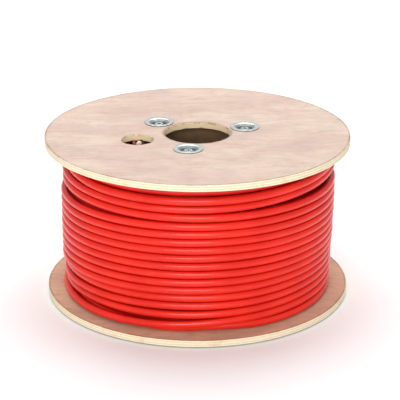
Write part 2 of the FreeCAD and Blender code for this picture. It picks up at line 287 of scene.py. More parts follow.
# The last part of the last turn leaves the winding outwards.
LEAVING = 10.4 * MM
LEAVING_TURNS = 0.17


def outer_height(turns, side):
    """Height of the cable's middle in the outermost layer."""
    height = FIRST_TURN_HEIGHT + TURN_PITCH * turns - lean(turns, side)
    height -= LOWEST_DIP * step(turns, 0.45, 0.2) * (1 - step(turns, 0.9, 0.14))
    height += bumps(RISES, turns)
    return min(max(height, LOWEST_LANE), HIGHEST_LANE)


def outer_radius(turns, side):
    """Distance of the cable's middle from the axis in the outermost layer."""
    share = smooth(rightness(side))
    radius = OUTER_RADIUS - LAYER_RISE * (1 - step(turns, -0.04, 0.13))
    radius += bumps(BULGES, turns) + bumps(LEFT_BULGES, turns) * (1 - share)
    radius -= NARROW_LOW_RIGHT * smooth((8 - turns) / 5) * step(turns, 0.6, 0.6) * share
    radius -= NARROW_HIGH_LEFT * step(turns, 13.3, 0.5) * (1 - share)
    radius += WIDE_HIGH_RIGHT * step(turns, 8, 5) * share
    radius += LEAVING * step(turns, OUTER_TURNS - LEAVING_TURNS, LEAVING_TURNS)
    return radius


# %% The outermost layer's line
WAVER = 0.5 * MM
LOOSE_HEIGHT = 0.22 * MM
LOOSE_RADIUS = 0.45 * MM


def outer_layer(per_turn):
    """Points along the outermost layer, up to where the cable leaves it at the back. Neighbours
    waver together, and each turn is a little loose on its own."""
    count = round((OUTER_TURNS - 0.03) * per_turn)
    cut_corner = math.cos(math.pi / per_turn)
    points = []
    for i in range(count):
        turns = i / per_turn
        angle = SEAM_ANGLE + turns * math.tau
        side = side_angle(angle)
        height = outer_height(turns, side)
        radius = outer_radius(turns, side)
        place = around(angle, 1.6, height / (30 * MM))
        loose = around(angle, 1.1, turns * 2.7)
        height += WAVER * noise.noise(place) + LOOSE_HEIGHT * noise.noise(loose)
        radius += LOOSE_RADIUS * noise.noise(loose + Vector((9, 4, 2)))
        height = min(max(height, LOWEST_LANE), HIGHEST_LANE)
        points.append(around(angle, radius / cut_corner, height))
    return points


print("the outermost layer's line has", len(outer_layer(36)), "points at 36 in each turn")

# %% [markdown]
# ## The two ends
# The inner end climbs out of the first layer into the start hole of the upper disc. The outer end
# leaves the topmost turn at the back and runs beside the winding to a wire staple. Neither is
# coiled, so both are short lists of given points, the same as in the CAD.

# %% Points of the two ends


def route(*points):
    """Points that are given in millimetres."""
    return [Vector(point) * MM for point in points]


START_ROUTE = route(
    (-58.2, -22.5, 155.6),
    (-56.0, -30.0, 151.5),
    (-50.0, -40.0, 148.8),
    (-40.5, -49.5, 148.0),
)
END_ROUTE = route(
    (111.4, 87.1, 151.6),
    (75.4, 120.5, 151.8),
    (29.8, 139.6, 151.8),
    (-20.2, 142.2, 151.8),
    (-63.4, 130.0, 151.8),
)
print(len(START_ROUTE), "and", len(END_ROUTE), "points")

# %% [markdown]
# ## Three lengths
# The cable is one piece about 100 m long. It is drawn as three cords that follow on from each
# other, because the covered layers can do with a coarser tube than the one that is seen: layers
# 1 to 6, layers 7 to 9, and the outermost layer with the outer end.
#
# Each is a smooth spline through its control points. The sheath is then a mesh swept along the
# points that the spline gives: a ring of vertices at each, square to the cable, joined to the next
# ring and capped at both ends. A swept mesh gives every length its own number of sides.

# %% Splines and swept tubes


def new_piece(name, mesh):
    """A new object with that mesh, riding on the drum."""
    piece = bpy.data.objects.new(name, mesh)
    bpy.context.collection.objects.link(piece)
    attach(piece, ROOT)
    return piece


def mesh_piece(name, verts, faces):
    """A new smooth-shaded piece with those vertices and faces."""
    mesh = bpy.data.meshes.new(name)
    mesh.from_pydata([tuple(v) for v in verts], [], faces)
    mesh.validate()
    mesh.polygons.foreach_set("use_smooth", [True] * len(mesh.polygons))
    return new_piece(name, mesh)


def spline_points(points, steps):
    """The points of one smooth open spline with those control points."""
    curve = bpy.data.curves.new("route", "CURVE")
    curve.dimensions = "3D"
    curve.resolution_u = steps
    spline = curve.splines.new("NURBS")
    spline.points.add(len(points) - 1)
    for knot, point in zip(spline.points, points):
        knot.co = (*point, 1)
    spline.order_u = 3
    spline.use_endpoint_u = True
    drawn = bpy.data.objects.new("route", curve)
    bpy.context.collection.objects.link(drawn)
    line = bpy.data.meshes.new_from_object(drawn)
    found = [vert.co.copy() for vert in line.vertices]
    bpy.data.objects.remove(drawn)
    bpy.data.curves.remove(curve)
    bpy.data.meshes.remove(line)
    return found


def ring(middle, across, other, radius, columns):
    """Vertices round a point, in the plane of two directions. The radius is a length or a
    function of the angle."""
    verts = []
    for column in range(columns):
        angle = math.tau * column / columns
        out = across * math.cos(angle) + other * math.sin(angle)
        verts.append(middle + out * (radius(angle) if callable(radius) else radius))
    return verts


def tube_faces(rows, columns, closed=False):
    """Faces between rings of vertices, each joined to the next. A closed tube joins its last ring
    to its first, and an open one is capped at both ends."""
    faces = []
    for row in range(rows if closed else rows - 1):
        a = row * columns
        b = (row + 1) % rows * columns
        for column in range(columns):
            right = (column + 1) % columns
            faces.append((a + column, a + right, b + right, b + column))
    if not closed:
        faces.append(tuple(reversed(range(columns))))
        faces.append(tuple(range((rows - 1) * columns, rows * columns)))
    return faces


def swept_cable(name, line, radius, sides):
    """A round sheath along a line that never runs straight up."""
    verts = []
    for i, point in enumerate(line):
        heading = (line[min(i + 1, len(line) - 1)] - line[max(i - 1, 0)]).normalized()
        across = heading.cross(Vector((0, 0, 1))).normalized()
        verts += ring(point, across, heading.cross(across), radius, sides)
    return mesh_piece(name, verts, tube_faces(len(line), sides))


def line_length(points):
    """Length of the straight runs through the points."""
    return sum((b - a).length for a, b in zip(points, points[1:]))


COVERED_PER_TURN = 24
SEEN_PER_TURN = 36
INNER_GROUP = 6
inner_line = list(START_ROUTE)
for layer in range(INNER_GROUP):
    layer_points = hidden_layer(layer, COVERED_PER_TURN)
    inner_line += layer_points[1:] if layer == 0 else layer_points
middle_line = [inner_line[-1]]
for layer in range(INNER_GROUP, HIDDEN_LAYERS):
    middle_line += hidden_layer(layer, COVERED_PER_TURN)
hand_over = round(0.6 * COVERED_PER_TURN)
outer_line = middle_line[-hand_over:] + outer_layer(SEEN_PER_TURN) + END_ROUTE
middle_line = middle_line[: 1 - hand_over]

inner_line, middle_line, outer_line = (
    spline_points(line, steps) for line, steps in ((inner_line, 2), (middle_line, 2), (outer_line, 3))
)
inner_cable = swept_cable("cable_inner", inner_line, CABLE_RADIUS, 8)
middle_cable = swept_cable("cable_middle", middle_line, CABLE_RADIUS, 8)
outer_cable = swept_cable("cable_outer", outer_line, CABLE_RADIUS, 20)
lengths = [line_length(line) for line in (inner_line, middle_line, outer_line)]
print("cable lengths:", [round(x, 2) for x in lengths], "together", round(sum(lengths), 1), "m")

# %% [markdown]
# ## What is at the inner end
# Inside the start hole the sheath has been slit and folded back, and the cores inside stand up in
# their pale filler. The filler is a bundle of seven soft strands that twist round each other. Only
# its outside shows, so it is one tube along the bundle's line, whose section has seven lobes that
# turn as it goes. The flap of sheath is a short thick tongue that is bent outwards.

# %% Filler strands and sheath flap
CORE_ROUTE = route((-58.2, -22.5, 155.6), (-56.8, -22.9, 158.8), (-55.6, -24.2, 161.6))
FLAP_ROUTE = route((-60.4, -21.6, 155.8), (-61.6, -21.0, 158.2), (-62.0, -20.6, 160.4))
BUNDLE_RADIUS = 2.6 * MM
FLAP_RADIUS = 2.4 * MM


def quadratic(bend, t):
    """A point and a direction on the curve that starts at the first point, heads for the second
    and ends at the third."""
    a, b, c = bend
    point = a * (1 - t) ** 2 + b * (2 * t * (1 - t)) + c * t * t
    heading = ((b - a) * (1 - t) + (c - b) * t).normalized()
    return point, heading


def swept(bend, radius_at, rows, columns):
    """Vertices and faces of a closed round-ended tube. radius_at(t, angle) gives its radius."""
    verts = []
    for row in range(rows + 1):
        t = row / rows
        point, heading = quadratic(bend, t)
        across = heading.cross(Vector((0, 1, 0))).normalized()
        verts += ring(point, across, heading.cross(across), lambda angle: radius_at(t, angle), columns)
    return verts, tube_faces(rows + 1, columns)


def rounded(t, share=0.25):
    """Full width until the last share of a tube's length, then a round end."""
    past = max(0.0, (t - 1 + share) / share)
    return math.sqrt(max(0.02, 1 - past * past))


def strand_radius(t, angle):
    """Seven soft strands side by side, twisted by a quarter turn along the bundle."""
    lobes = abs(math.cos(3.5 * (angle + t * 1.6)))
    return BUNDLE_RADIUS * rounded(t, 0.45) * (0.86 + 0.14 * lobes)


def tongue_radius(t, angle):
    """A flap that is wide one way, thin the other and a little ragged at its end."""
    flat = 0.45 + 0.55 * abs(math.sin(angle))
    return FLAP_RADIUS * flat * rounded(t, 0.3) * (1 + 0.08 * math.sin(5 * angle + 9 * t))


start_core = mesh_piece("start_filler", *swept(CORE_ROUTE, strand_radius, 24, 42))
start_flap = mesh_piece("start_sheath_flap", *swept(FLAP_ROUTE, tongue_radius, 20, 32))
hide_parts("cable_start_core")
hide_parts("cable_start_flap")
print("at the inner end:", start_core.name, "and", start_flap.name)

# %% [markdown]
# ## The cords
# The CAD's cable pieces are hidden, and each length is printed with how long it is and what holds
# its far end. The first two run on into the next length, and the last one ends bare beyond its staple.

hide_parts("cable_inner_layers", "cable_start_tail")
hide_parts("cable_middle_layers")
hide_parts("cable_outer_layer", "cable_end_tail")
for cable, line, length, end, ends_with in (
    (inner_cable, inner_line, lengths[0], "object", (start_core, start_flap)),
    (middle_cable, middle_line, lengths[1], "object", ()),
    (outer_cable, outer_line, lengths[2], "bare", ()),
):
    print(cable.name, round(length, 2), "m, far end:", end)

# %% [markdown]
# ## Rings stacked into turned pieces
# Washers, bolts and nuts are round pieces with a few bends or a hexagon in them. A stack of rings
# makes all of them: each ring has a radius and a height, and a hexagon is a ring whose radius
# depends on the angle. Bends are rounded by putting several rings along a small arc.

# %% Ring stacks
BOLT_ANGLES = []
for number in (1, 2, 3):
    low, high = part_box(f"upper_cup_washer_{number}")
    BOLT_ANGLES.append(math.atan2((low[1] + high[1]) / 2, (low[0] + high[0]) / 2))
BOLT_RADIUS = math.hypot(low[0] + high[0], low[1] + high[1]) / 2
RIM_RADIUS = radius_of("upper_cup_washer_1")
print("bolts at", [round(math.degrees(a)) for a in BOLT_ANGLES], "degrees, on", round(BOLT_RADIUS, 4))


def hexagon(width):
    """Radius of a hexagon of that width across its flats, at an angle."""

    def radius(angle):
        return width / 2 / math.cos((angle + math.pi / 6) % (math.pi / 3) - math.pi / 6)

    return radius


def ring_stack(name, rings, spot, columns, closed):
    """A piece made of level rings (radius, height) round an axis through that spot."""
    along_x, along_y, up = Vector((1, 0, 0)), Vector((0, 1, 0)), Vector((0, 0, 1))
    verts = []
    for radius, height in rings:
        verts += ring(spot + up * height, along_x, along_y, radius, columns)
    return mesh_piece(name, verts, tube_faces(len(rings), columns, closed))


def turned_piece(node, how, rings, columns=60, closed=True):
    """A stack of rings round one bolt's axis, which stands for the CAD node of that name."""
    spot = around(BOLT_ANGLES[int(node[-1]) - 1], BOLT_RADIUS, 0)
    piece = ring_stack(f"{node}_{how}", rings, spot, columns, closed)
    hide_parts(node)
    return piece


def eased(corners, rounding, steps=4):
    """The corners of an outline with each of them cut round, as a list of (radius, height)."""
    points = []
    count = len(corners)
    for i, corner in enumerate(corners):
        here = Vector(corner)
        back = Vector(corners[i - 1]) - here
        on = Vector(corners[(i + 1) % count]) - here
        reach = min(rounding[i], back.length * 0.45, on.length * 0.45)
        start = here + back.normalized() * reach
        end = here + on.normalized() * reach
        for step in range(steps + 1):
            t = step / steps
            points.append(tuple(start * (1 - t) ** 2 + here * (2 * t * (1 - t)) + end * t * t))
    return points


# %% [markdown]
# ## Cup washers
# The washer is pressed from sheet: a flat rim, a dish that sinks into the wood and a hole in its
# floor. A press leaves soft bends, and the rim's cut edge is a little rolled. The outline below is
# one trip round the sheet's section, with every corner eased: the cut edges a little, the bends more.

# %% Cup washers
SHEET = 1 * MM
CUP_SINK = 4.5 * MM
CUP_MOUTH = 10.2 * MM
CUP_FLOOR = 6.2 * MM
CUP_HOLE = 2.75 * MM
CUP_SHIFT = 0.5 * MM


def cup_washer(node, outer_face, up):
    """A washer whose rim lies on outer_face, with its dish sunk the other way."""
    corners = (
        (RIM_RADIUS, 0),
        (RIM_RADIUS, SHEET),
        (CUP_MOUTH, SHEET),
        (CUP_FLOOR, SHEET - CUP_SINK),
        (CUP_HOLE, SHEET - CUP_SINK),
        (CUP_HOLE, -CUP_SINK),
        (CUP_FLOOR + CUP_SHIFT, -CUP_SINK),
        (CUP_MOUTH + CUP_SHIFT, 0),
    )
    cut = 0.3 * MM
    bend = 0.9 * MM
    outline = eased(corners, (cut, cut, bend, bend, cut / 2, cut / 2, bend, bend))
    rings = [(r, outer_face + up * h) for r, h in outline]
    if up > 0:
        rings.reverse()
    return turned_piece(node, "pressed", rings, 64)


washers = []
for number in (1, 2, 3):
    washers.append(cup_washer(f"upper_cup_washer_{number}", upper_high[2], 1))
    washers.append(cup_washer(f"lower_cup_washer_{number}", lower_low[2], -1))
print(len(washers), "washers")

# %% [markdown]
# ## Bolts and nuts
# The bolt's round head sits in the upper dish and has a hexagon socket for a key. Its thread ends
# in the lower dish, in a plain nut. The thread is a row of fine ridges, close enough for what is
# seen between the nut and the bolt's end.

# %% Bolts
SHANK = 2.5 * MM
THREAD_PITCH = 0.8 * MM
THREAD_DEPTH = 0.3 * MM
THREAD_LENGTH = 18 * MM
TIP_LENGTH = 0.5 * MM
TIP_SHARE = 0.74
NECK = 0.3 * MM
HEAD = 4.5 * MM
HEAD_RISE = 2.6 * MM
HEAD_EDGE = 0.2 * MM
CROWN_INSET = 1.3 * MM
CROWN_RISE = HEAD_RISE * 0.45
SOCKET = 4 * MM
SOCKET_LEAD = 0.25 * MM
SOCKET_WIDENING = 0.4 * MM
SOCKET_DEPTH = 1.8 * MM
bolt_low, bolt_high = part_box("tie_bolt_1")


def tie_bolt(number):
    """One bolt, from its lower end up round the head and down into the socket."""
    bottom = bolt_low[2]
    top = bolt_high[2]
    bearing = top - HEAD_RISE
    rings = [(SHANK * TIP_SHARE, bottom)]
    ridge = bottom + TIP_LENGTH
    while ridge < bottom + THREAD_LENGTH:
        rings += [(SHANK - THREAD_DEPTH, ridge), (SHANK, ridge + THREAD_PITCH / 2)]
        ridge += THREAD_PITCH
    rings += [(SHANK, ridge), (SHANK, bearing - NECK), (SHANK + NECK, bearing)]
    rings += [(HEAD - HEAD_EDGE, bearing), (HEAD, bearing + HEAD_EDGE)]
    for part in range(7):
        turn = math.radians(15 * part)
        inset = CROWN_INSET * (1 - math.cos(turn))
        rings.append((HEAD - inset, top - CROWN_RISE * (1 - math.sin(turn))))
    rings.append((hexagon(SOCKET + SOCKET_WIDENING), top))
    rings.append((hexagon(SOCKET), top - SOCKET_LEAD))
    rings.append((hexagon(SOCKET), top - SOCKET_DEPTH))
    return turned_piece(f"tie_bolt_{number}", "turned", rings, closed=False)


# %% Nuts
NUT_WIDTH = 8 * MM
NUT_TURNED = 4.15 * MM
NUT_BEVEL = 0.5 * MM
BORE_GAP = 0.05 * MM
BORE_LEAD = 0.35 * MM


def hex_nut(number):
    """One nut: a hexagon with its corners turned off at both faces, round a threaded bore."""
    low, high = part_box(f"hex_nut_{number}")
    flats = hexagon(NUT_WIDTH)

    def turned_off(angle):
        return min(flats(angle), NUT_TURNED)

    bore = SHANK + BORE_GAP
    rings = [
        (bore + BORE_LEAD, low[2]),
        (turned_off, low[2]),
        (flats, low[2] + NUT_BEVEL),
        (flats, high[2] - NUT_BEVEL),
        (turned_off, high[2]),
        (bore + BORE_LEAD, high[2]),
        (bore, high[2] - BORE_LEAD),
        (bore, low[2] + BORE_LEAD),
    ]
    return turned_piece(f"hex_nut_{number}", "cut", rings)


bolts_and_nuts = [make(number) for number in (1, 2, 3) for make in (tie_bolt, hex_nut)]
print(len(bolts_and_nuts), "bolts and nuts")

# %% [markdown]
# ## Plywood discs
# A disc is sawn from five-ply sheet. Its edge shows the plies as fine steps, because the saw cuts
# soft and hard layers unevenly, and the thin face veneer tears into small chips along the rims.
# A cylinder with a picture of plies would stay perfectly round and sharp. Here each rim is a row of
# rings with its own small steps and chips, and the two faces are filled between the rims with a
# triangulation that leaves the holes open.

# %% Disc helpers
PLY_COUNT = 5
ARRIS = 0.35 * MM
GLUE_HALF = 0.16 * MM
GLUE_DEPTH = 0.1 * MM
SAW_DEPTH = 0.12 * MM
SAW_GRAIN = 90
SAW_SHIFT = 400
CHIP_GRAIN = 150
TORN_HEIGHT = 1.1 * MM


def chip_depth(place, share):
    """How deep the veneer is torn at a place: mostly nothing, here and there a small bite. The
    larger the share, the more of the rim is torn."""
    bite = noise.noise(place * CHIP_GRAIN) - (1 - share)
    return max(0.0, bite) / share


def rim_rows(thickness):
    """Heights and inward steps of a sawn edge, from the lower face to the upper one."""
    rows = [(0, ARRIS), (ARRIS * 0.35, ARRIS * 0.35), (ARRIS, 0)]
    for ply in range(1, PLY_COUNT):
        joint = thickness * ply / PLY_COUNT
        rows += [(joint - GLUE_HALF, 0), (joint, GLUE_DEPTH), (joint + GLUE_HALF, 0)]
    return rows + [(thickness - height, into) for height, into in reversed(rows[:3])]


class Rim:
    """A round edge of a disc: its outside, or one of its holes. The wood lies inwards of it (1)
    or outwards (-1), and its veneer is torn so deep and on such a share of it."""

    def __init__(self, centre, radius, columns, inward, torn, share=0.62):
        self.centre = centre
        self.radius = radius
        self.columns = columns
        self.inward = inward
        self.torn = torn
        self.share = share

    def ring(self, height, step, torn_off):
        """Points of one ring. A step or a torn spot always goes into the wood."""
        points = []
        for column in range(self.columns):
            angle = math.tau * column / self.columns
            out = Vector((math.cos(angle), math.sin(angle), 0))
            spot = self.centre + out * self.radius
            saw = SAW_DEPTH * noise.noise(spot * SAW_GRAIN + Vector((0, 0, height * SAW_SHIFT)))
            bite = self.torn * torn_off * chip_depth(spot, self.share)
            into = step + abs(saw) + bite
            points.append(self.centre + out * (self.radius - self.inward * into))
        return [Vector((p.x, p.y, height)) for p in points]


def plywood_disc(name, node, rims):
    """A disc between its node's faces with all its rims, the outer one first."""
    low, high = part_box(node)
    bm = bmesh.new()
    face_loops = ([], [])
    for rim in rims:
        loops = []
        for height, step in rim_rows(high[2] - low[2]):
            depth = min(height, high[2] - low[2] - height)
            torn_off = 1 - smooth(depth / TORN_HEIGHT)
            points = rim.ring(low[2] + height, step, torn_off)
            loops.append([bm.verts.new(p) for p in points])
        for lower, upper in zip(loops, loops[1:]):
            for i in range(rim.columns):
                j = (i + 1) % rim.columns
                corners = (lower[i], lower[j], upper[j], upper[i])
                bm.faces.new(corners if rim.inward > 0 else corners[::-1]).smooth = True
        face_loops[0].append(loops[0])
        face_loops[1].append(loops[-1])
    for top, loops in enumerate(face_loops):
        fill_face(bm, loops, rims, bool(top))
    mesh = bpy.data.meshes.new(name)
    bm.to_mesh(mesh)
    bm.free()
    piece = new_piece(name, mesh)
    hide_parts(node)
    return piece


def fill_face(bm, loops, rims, top):
    """Fills one flat face between its outer loop and the loops of its holes."""
    verts = [vert for loop in loops for vert in loop]
    edges = []
    start = 0
    for loop in loops:
        count = len(loop)
        edges += [(start + i, start + (i + 1) % count) for i in range(count)]
        start += count
    flat = [vert.co.xy for vert in verts]
    made = delaunay_2d_cdt(flat, edges, [], 1, 1e-7)
    spots, triangles, origins = made[0], made[2], made[3]
    for triangle in triangles:
        middle = sum((spots[i] for i in triangle), Vector((0, 0))) / 3
        if any((middle - hole.centre.xy).length < hole.radius - 0.05 * MM for hole in rims[1:]):
            continue
        corners = [verts[origins[i][0]] for i in triangle]
        bm.faces.new(corners if top else corners[::-1])


# %% Both discs
START_HOLE_RADIUS = 16 * MM
START_HOLE_CENTRE = around(math.radians(200), 62 * MM, 0)
SEAT_RADIUS = 10.9 * MM


def disc_rims(has_start_hole):
    """The rims of one disc: outside, spindle hole, bolt seats and, in one of them, start hole."""
    nowhere = Vector((0, 0, 0))
    rims = [
        Rim(nowhere, FLANGE_RADIUS, 720, 1, 0.7 * MM),
        Rim(nowhere, ARBOR_RADIUS, 300, -1, 3.2 * MM, 0.9),
    ]
    for angle in BOLT_ANGLES:
        rims.append(Rim(around(angle, BOLT_RADIUS, 0), SEAT_RADIUS, 72, -1, 0))
    if has_start_hole:
        rims.append(Rim(START_HOLE_CENTRE, START_HOLE_RADIUS, 160, -1, 2.0 * MM, 0.85))
    return rims


upper_disc = plywood_disc("upper_disc", "upper_flange", disc_rims(True))
lower_disc = plywood_disc("lower_disc", "lower_flange", disc_rims(False))
print("disc faces:", len(upper_disc.data.polygons), len(lower_disc.data.polygons))

# %% [markdown]
# ## The staple
# A wire staple holds the cable's outer end against the inside of the upper disc. It is bent from
# one wire, so it is one round tube along a path: up a leg, round a small arc onto the crown, and
# round another down the other leg. Its heights come from the CAD staple's box.

# %% Staple
STAPLE_WIRE = 0.6 * MM
LEG_SPREAD = 4.7 * MM
staple_low, staple_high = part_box("end_staple")
tail_heading = (END_ROUTE[3] - END_ROUTE[2]).normalized()
tail_side = Vector((0, 0, 1)).cross(tail_heading).normalized() * LEG_SPREAD
tail_spot = (END_ROUTE[2] + END_ROUTE[3]) / 2
crown_height = staple_low[2] + STAPLE_WIRE
leg_height = staple_high[2]
crown_turn = 1.6 * MM
staple_line = []
for side in (1, -1):
    foot = Vector((*(tail_spot + tail_side * side).xy, leg_height))
    leg = []
    for part in range(5):
        leg.append(foot.lerp(Vector((*foot.xy, crown_height + crown_turn)), part / 5))
    for part in range(7):
        turn = math.radians(15 * part)
        inward = -tail_side.normalized() * side * crown_turn * (1 - math.cos(turn))
        leg.append(
            Vector((*foot.xy, crown_height + crown_turn * (1 - math.sin(turn)))) + inward
        )
    staple_line += leg if side > 0 else leg[::-1]


def wire_piece(name, line, radius, columns=12):
    """A capped tube along straight runs, with its rings kept square to the line."""
    verts = []
    for i, point in enumerate(line):
        heading = (line[min(i + 1, len(line) - 1)] - line[max(i - 1, 0)]).normalized()
        side = heading.cross(tail_heading).normalized()
        verts += ring(point, side, tail_heading, radius, columns)
    return mesh_piece(name, verts, tube_faces(len(line), columns))


staple = wire_piece("end_staple_bent", staple_line, STAPLE_WIRE)
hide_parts("end_staple")
print("staple legs", round(2 * LEG_SPREAD, 4), "m apart")

# %% [markdown]
# ## Writing shader graphs as sums
# A material is a graph of nodes. Joined by hand, a graph of thirty nodes is hard to read, so a
# small class wraps a socket and turns + - * / into Math nodes, and one method adds any other node.

# %% Shader sums


class Wire:
    """A socket of a material's graph that can be used in sums."""

    def __init__(self, tree, socket=None):
        self.tree = tree
        self.socket = socket

    def node(self, kind, settings=(), links=(), out=0):
        """Adds a node: its settings first, then the values or wires of its sockets."""
        made = self.tree.nodes.new(kind)
        for name, value in dict(settings).items():
            if name == "stops":
                self.set_stops(made.color_ramp, value)
            else:
                setattr(made, name, value)
        for name, value in dict(links).items():
            if isinstance(value, Wire):
                self.tree.links.new(value.socket, made.inputs[name])
            else:
                made.inputs[name].default_value = value
        return Wire(self.tree, made.outputs[out])

    @staticmethod
    def set_stops(ramp, stops):
        """Puts (position, colour) stops on a ramp."""
        while len(ramp.elements) < len(stops):
            ramp.elements.new(1)
        for element, (position, colour) in zip(ramp.elements, stops):
            element.position = position
            element.color = colour

    def math(self, operation, *values):
        """A Math node on one or two values."""
        return self.node("ShaderNodeMath", {"operation": operation}, dict(enumerate(values)))

    def __add__(self, other):
        return self.math("ADD", self, other)

    __radd__ = __add__

    def __sub__(self, other):
        return self.math("SUBTRACT", self, other)

    def __rsub__(self, other):
        return self.math("SUBTRACT", other, self)

    def __mul__(self, other):
        return self.math("MULTIPLY", self, other)

    __rmul__ = __mul__

    def __truediv__(self, other):
        return self.math("DIVIDE", self, other)

    def __pow__(self, power):
        return self.math("POWER", self, power)

    def __mod__(self, other):
        return self.math("MODULO", self, other)

    def __abs__(self):
        return self.math("ABSOLUTE", self)

    def between(self, low, high):
        """0 at low, 1 at high, smooth between them and level beyond."""
        settings = {"interpolation_type": "SMOOTHSTEP"}
        return self.node("ShaderNodeMapRange", settings, {0: self, 1: low, 2: high})

    def blend(self, a, b, how="MIX"):
        """A colour that goes from a to b as this value goes from 0 to 1."""
        settings = {"data_type": "RGBA", "blend_type": how}
        return self.node("ShaderNodeMix", settings, {0: self, 6: a, 7: b}, out=2)

    def noise(self, where, scale, detail=4.0, roughness=0.5, distortion=0.0):
        """Soft noise from 0 to 1 at a place."""
        links = {"Vector": where, "Scale": scale, "Detail": detail}
        links |= {"Roughness": roughness, "Distortion": distortion}
        return self.node("ShaderNodeTexNoise", (), links)

    def stretched(self, where, scale, move=(0, 0, 0)):
        """A place scaled by a different amount along each axis."""
        return self.node("ShaderNodeMapping", (), {"Vector": where, "Scale": scale, "Location": move})

    def axis(self, name):
        """X, Y or Z of this vector."""
        return self.node("ShaderNodeSeparateXYZ", (), {0: self}, out="XYZ".index(name))

    def bump(self, height, distance, strength=1.0):
        """A Normal that is tilted by a height, in metres of relief."""
        links = {"Height": height, "Distance": distance, "Strength": strength}
        return self.node("ShaderNodeBump", (), links)


def paint(red, green, blue):
    """A colour given as on a screen, from 0 to 255, as the linear values that shaders take."""

    def linear(x):
        x /= 255
        return x / 12.92 if x <= 0.04045 else ((x + 0.055) / 1.055) ** 2.4

    return (linear(red), linear(green), linear(blue), 1.0)


def new_material(name):
    """A material with only its shader left, that shader and a wire to start sums from."""
    material = bpy.data.materials.new(name)
    material.use_nodes = True
    shader = material.node_tree.nodes["Principled BSDF"]
    start = Wire(material.node_tree)
    place = start.node("ShaderNodeTexCoord", out=3)
    return material, shader, place


def flatness(place):
    """1 where the surface faces straight up or down and 0 where it stands upright."""
    return abs(place.node("ShaderNodeNewGeometry", out=1).axis("Z"))


def layered(colour, layers):
    """A colour under a list of others: (where, from 0 to 1, how strongly, which colour)."""
    for where, strength, over in layers:
        colour = (where * strength).blend(colour, over)
    return colour


def feed(shader, **sockets):
    """Sets or joins the shader's sockets. Spaces in a socket's name are written as _."""
    for name, value in sockets.items():
        socket = shader.inputs[name.replace("_", " ")]
        if isinstance(value, Wire):
            value.tree.links.new(value.socket, socket)
        else:
            socket.default_value = value


def dress(material, *pieces):
    """Gives pieces a material."""
    for piece in pieces:
        piece.data.materials.clear()
        piece.data.materials.append(material)


# %% [markdown]
# ## The cable's sheath
# The sheath is soft red plastic, extruded over the cores. It is satin rather than glossy, a little
# lighter where it has rubbed on its neighbours, and its surface is faintly uneven from the cores
# underneath. Its red varies slowly from place to place, so no turn looks like the next one. The
# covered turns are a deeper, more matt red, because hardly any light gets between the outer ones.

# %% Sheath


def sheath_material(name, clean, aged, pressed, shine):
    """Plastic between two reds, with slight rubbing marks. Where it faces up or down, in the creases
    against the turns above and below, it is painted darker as shade. A shine of 1 is satin and 0 is
    matt."""
    material, shader, place = new_material(name)
    patches = place.noise(place, 28, 3, 0.5)
    fine = place.noise(place, 900, 3, 0.6)
    rubbed = place.noise(place.stretched(place, (60, 60, 420)), 1.0, 4, 0.6).between(0.58, 0.78)
    base = patches.between(0.3, 0.7).blend(aged, clean)
    colour = (rubbed * 0.22).blend(base, paint(250, 96, 84))
    # Painted shade: surfaces that face straight up or down, in the creases between turns, are darkened
    # towards the third red.
    painted_crease_shade = flatness(place).between(0.76, 0.99)
    colour = (painted_crease_shade * 0.85).blend(colour, pressed)
    relief = fine * 0.5 + patches * 0.8
    feed(
        shader,
        Base_Color=colour,
        Roughness=0.29 + 0.4 * (1 - shine) + fine * 0.10 + rubbed * 0.08,
        Normal=place.bump(relief, 0.00012, 0.35),
        Specular_IOR_Level=0.33 * shine,
        Coat_Weight=0.15 * shine,
        Coat_Roughness=0.14,
    )
    return material


# The middle and covered sheaths are darker copies of the outer red, as painted shade on the covered
# layers. Each row's third red is the painted crease shade.
for name, cable, shine, reds in (
    ("red_sheath", outer_cable, 1.0, ((238, 42, 25), (226, 35, 20), (190, 8, 5))),
    ("middle_sheath", middle_cable, 0.2, ((150, 14, 8), (134, 11, 6), (90, 4, 3))),
    ("covered_sheath", inner_cable, 0.2, ((120, 16, 10), (104, 12, 8), (60, 4, 3))),
    ("slit_sheath", start_flap, 1.0, ((176, 74, 70), (156, 56, 52), (140, 40, 36))),
):
    dress(sheath_material(name, *(paint(*red) for red in reds), shine), cable)
    print(name, "on", cable.name)

# %% [markdown]
# ## Plywood
# The face veneer is peeled from a log, so its grain is long, wavy and faint, with pinkish-brown
# patches where the knife cut through a growth ring. The edge shows the plies: light ones cut along
# their grain, slightly darker ones cut across it, and thin brown glue lines between them. One
# material does both, and chooses by how much the surface faces up or down.

# %% Plywood


